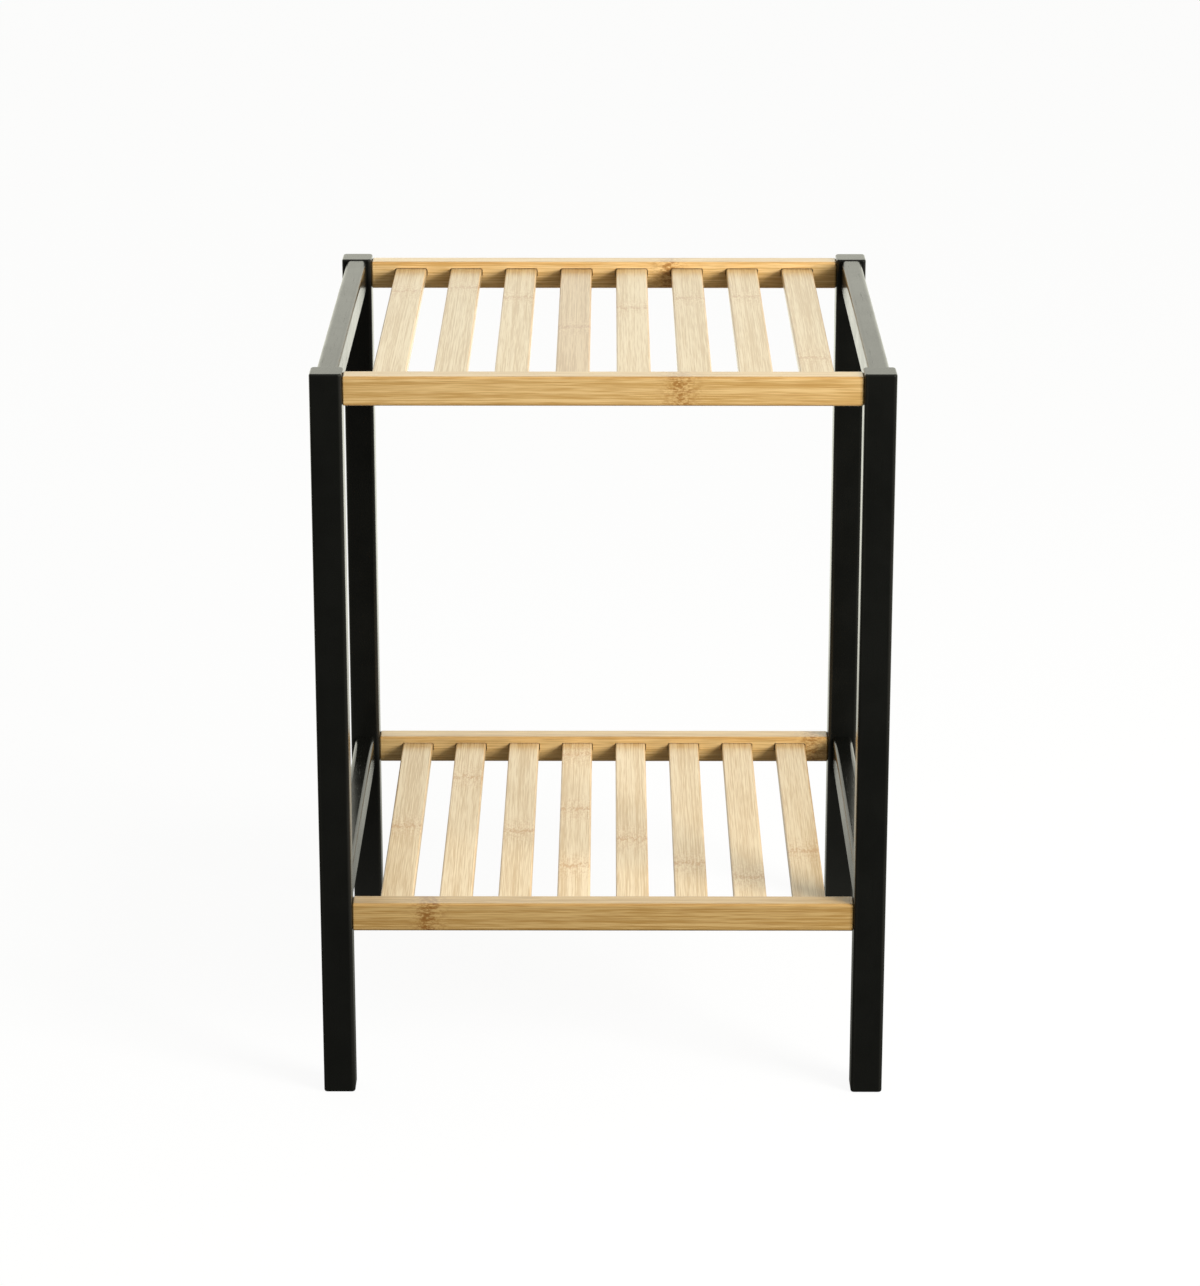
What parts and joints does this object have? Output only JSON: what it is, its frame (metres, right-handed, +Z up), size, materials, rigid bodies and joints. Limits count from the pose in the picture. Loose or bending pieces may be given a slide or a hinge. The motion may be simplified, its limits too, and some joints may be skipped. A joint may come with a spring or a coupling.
{
  "type": "slatted bench",
  "caption": "Small open bench with two slatted bamboo decks held between black-lacquered wooden side frames, for sitting on or storing shoes.",
  "frame": {"origin": "on the floor, under the middle of the bench", "axes": "+X to the right along the front, +Y from the front to the back, +Z up"},
  "size_m": [0.34, 0.328, 0.45],
  "materials": {
    "bamboo": "clear satin lacquer",
    "black_lacquer": "satin black lacquer",
    "black_steel": "black oxide",
    "zinc_steel": "zinc plated"
  },
  "bodies": {
    "root": {"post_front_left": "black_lacquer", "post_front_right": "black_lacquer", "post_back_left": "black_lacquer", "post_back_right": "black_lacquer", "side_rail_upper_left": "black_lacquer", "side_rail_upper_right": "black_lacquer", "deck_rail_upper_front": "bamboo", "deck_rail_upper_back": "bamboo", "slat_upper_1": "bamboo", "slat_upper_2": "bamboo", "slat_upper_3": "bamboo", "slat_upper_4": "bamboo", "slat_upper_5": "bamboo", "slat_upper_6": "bamboo", "slat_upper_7": "bamboo", "slat_upper_8": "bamboo", "side_rail_lower_left": "black_lacquer", "side_rail_lower_right": "black_lacquer", "deck_rail_lower_front": "bamboo", "deck_rail_lower_back": "bamboo", "slat_lower_1": "bamboo", "slat_lower_2": "bamboo", "slat_lower_3": "bamboo", "slat_lower_4": "bamboo", "slat_lower_5": "bamboo", "slat_lower_6": "bamboo", "slat_lower_7": "bamboo", "slat_lower_8": "bamboo", "deck_bolts": "black_steel", "threaded_sleeves": "zinc_steel"}
  },
  "joints": []
}
